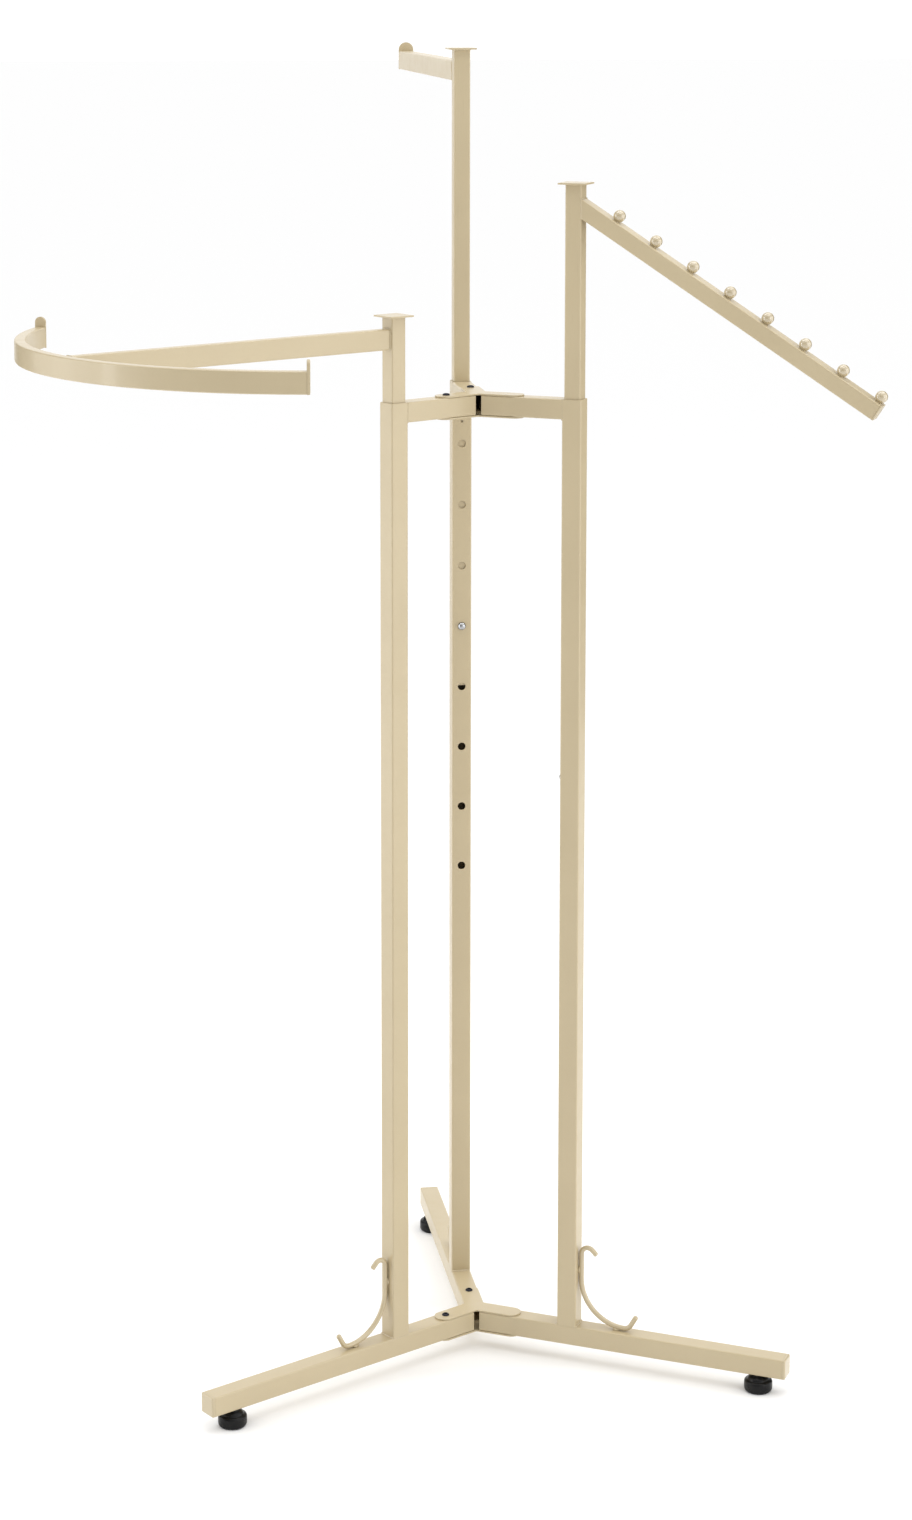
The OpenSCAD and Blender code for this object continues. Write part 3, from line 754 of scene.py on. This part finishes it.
# arm B, straight
L, z = leg("b"), HOLE["b"] + ARM_Z
ARM_B_END = round(1000 * (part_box("arm_tip_b")[1].y - HUB[1]), 3) - TIP_T
g = Geo()
tube(g, L @ moved(0, 0, z + ARM_H / 2) @ ALONG, ARM_H, MAST, TUBE_R, MAST_OUT, ARM_B_END)
make("arm_b_tube", g, "mast_b", ["arm_tube_b"], PAINT)
g = Geo()
plate(g, L @ moved(ARM_B_END, 0, z) @ ON_END, tip_outline(MAST, ARM_H + TIP_RISE), TIP_T, 0.6)
make("arm_b_tip", g, "mast_b", ["arm_tip_b"], PAINT)
g = Geo()
weld_ring(g, L, MAST_OUT, z + ARM_H / 2, ARM_H, MAST - 1, TUBE_R, 1.2, 3)
make("arm_b_welds", g, "mast_b", [], PAINT_WELD, sharp=80)

# arm C, slanted, with the balls
L, z = leg("c"), HOLE["c"] + ARM_C_TOP
down = L @ moved(MAST_OUT, 0, z) @ turned(math.degrees(SLOPE), "Y")
g = Geo()
tube(g, down @ moved(0, 0, -MAST / 2) @ ALONG, MAST, MAST, MAST_R, 0, ARM_C_END, shear=math.tan(SLOPE))
make("arm_c_tube", g, "mast_c", ["arm_tube_c"], PAINT)
g = Geo()
plate(g, down @ moved(ARM_C_END, 0, -MAST / 2) @ ALONG, rrect(MAST, MAST, MAST_R), END_T, 0.6)
make("arm_c_end", g, "mast_c", ["arm_end_c"], PAINT)
g = Geo()
ball = [(0, 0), (4.4, 0), (4.55, 0.25), (4.4, 0.7)]  # its foot, with a small weld rim
ball += [(BALL_R * math.cos(rad(a)), BALL_UP + BALL_R * math.sin(rad(a))) for a in range(-52, 90, 5)]
ball.append((0, BALL_UP + BALL_R))
for i in range(BALL_COUNT):
    lathe(g, down @ moved(BALL_FIRST + BALL_PITCH * i), ball, 48)
make("arm_c_balls", g, "mast_c", ["ball_stops"], PAINT_BALL, sharp=50)
g = Geo()
cut = [(MAST_OUT, y, z + (v - MAST / 2) / math.cos(SLOPE)) for v, y in rrect(MAST, MAST - 1, MAST_R, 0, 2)]
bead(g, L, cut, 1.2, closed=True, seed=4)
make("arm_c_welds", g, "mast_c", [], PAINT_WELD, sharp=80)

# ---------------------------------------------------------------- stage, lights and camera


def sheet(name, corners, paint):
    """Flat matt sheet that isn't part of the object."""
    me = bpy.data.meshes.new(name)
    me.from_pydata(corners, [], [(0, 1, 2, 3)])
    o = bpy.data.objects.new(name, me)
    bpy.context.scene.collection.objects.link(o)
    me.materials.append(paint)
    return o


def matt(name, grey):
    mat, _, bsdf = shader(name, rough=0.9)
    bsdf.inputs["Base Color"].default_value = (grey, grey, grey, 1)
    return mat, bsdf


def floor():
    mat, bsdf = matt("Floor pale", 0.93)
    bsdf.inputs["Specular IOR Level"].default_value = 0
    size, low = 60, -0.0002
    sheet("Floor", [(-size, -size, low), (size, -size, low), (size, size, low), (-size, size, low)], mat)


def soft_light(name, spot, aim, size, power):
    d = bpy.data.lights.new(name, "AREA")
    d.shape, d.size, d.size_y, d.energy = "RECTANGLE", size[0], size[1], power
    o = bpy.data.objects.new(name, d)
    bpy.context.scene.collection.objects.link(o)
    o.location = spot
    o.rotation_euler = (Vector(aim) - Vector(spot)).to_track_quat("-Z", "Y").to_euler()


def flag(name, spot, yaw, size):
    """Dark card outside the picture, which shows only in glossy reflections turned to it."""
    w, h = size[0] / 2, size[1]
    mat, _ = matt("Flag dark", 0.03)
    o = sheet(name, [(-w, 0, 0.01), (w, 0, 0.01), (w, 0, h), (-w, 0, h)], mat)
    o.location, o.rotation_euler = (spot[0], spot[1], 0), (0, 0, rad(-yaw))
    o.visible_camera = o.visible_diffuse = o.visible_shadow = False


SKY, SKY_DIP = 1.14, 0.3  # the sky's strength, and its least
SKY_DIP_AZ = 236  # the way to where it is least


def studio_sky():
    """White sky that is weaker low down on one side. The camera sees it even."""
    world = bpy.data.worlds.new("Studio")
    bpy.context.scene.world = world
    world.use_nodes = True
    nt = world.node_tree
    back = next(n for n in nt.nodes if n.type == "BACKGROUND")
    back.inputs["Color"].default_value = (1, 1, 1, 1)
    way = nt.nodes.new("ShaderNodeTexCoord")
    dot = nt.nodes.new("ShaderNodeVectorMath")
    dot.operation = "DOT_PRODUCT"
    dot.inputs[1].default_value = (math.cos(rad(SKY_DIP_AZ)), math.sin(rad(SKY_DIP_AZ)), 0)
    nt.links.new(way.outputs["Generated"], dot.inputs[0])
    lit = spread(nt, dot.outputs["Value"], 0.5, 0.95, SKY, SKY_DIP)
    path = nt.nodes.new("ShaderNodeLightPath")
    mix = nt.nodes.new("ShaderNodeMix")
    mix.inputs["B"].default_value = SKY
    nt.links.new(path.outputs["Is Camera Ray"], mix.inputs["Factor"])
    nt.links.new(lit, mix.inputs["A"])
    nt.links.new(mix.outputs["Result"], back.inputs["Strength"])


def camera():
    """The photo's camera. spot is from the hub, and focal and shift_y are in picture heights."""
    away, tilt, roll = rad(-98.649), rad(7.484), rad(0.061)
    spot, focal, shift_y = Vector((-0.591038, -3.723634, 1.679704)), 2.09954, -0.24013
    back = Vector((math.cos(tilt) * math.cos(away), math.cos(tilt) * math.sin(away), math.sin(tilt)))
    right = Vector((-math.sin(away), math.cos(away), 0))
    up = right.cross(-back)
    r = right * math.cos(roll) + up * math.sin(roll)
    u = up * math.cos(roll) - right * math.sin(roll)
    d = bpy.data.cameras.new("Camera")
    d.sensor_width, d.lens = 36, 36 * focal
    d.shift_x, d.shift_y = 0, shift_y
    d.clip_start, d.clip_end = 0.05, 200
    o = bpy.data.objects.new("Camera", d)
    bpy.context.scene.collection.objects.link(o)
    m = Matrix((r, u, back)).transposed().to_4x4()
    m.translation = spot + Vector(HUB)
    o.matrix_world = m
    bpy.context.scene.camera = o


floor()
studio_sky()
soft_light("Soft left", (-2.3, 0.75, 1.0), (0, 0, 0.8), (1.7, 2.4), 14)
soft_light("Soft right", (2.3, -0.95, 1.0), (0, 0, 0.8), (1.7, 2.4), 12)
soft_light("Strip left", (-2.97, -0.45, 1.2), (0, 0, 0.9), (0.3, 2.6), 13)
soft_light("Strip right", (1.87, -2.34, 1.2), (0, 0, 0.9), (0.3, 2.6), 8)
soft_light("Strip top", (0.6, 0.1, 3.6), (0.6, 0.1, 0), (4.6, 0.5), 26)
soft_light("Strip top front", (0.5, -1.3, 3.6), (0.4, -0.2, 1.2), (2.2, 0.4), 8)
flag("Flag back left", (-2.2, 2.3), -45, (2.6, 4.0))
flag("Flag back right", (2.9, 1.7), 60, (2.6, 4.0))
camera()
bpy.context.scene.view_settings.view_transform = "Standard"
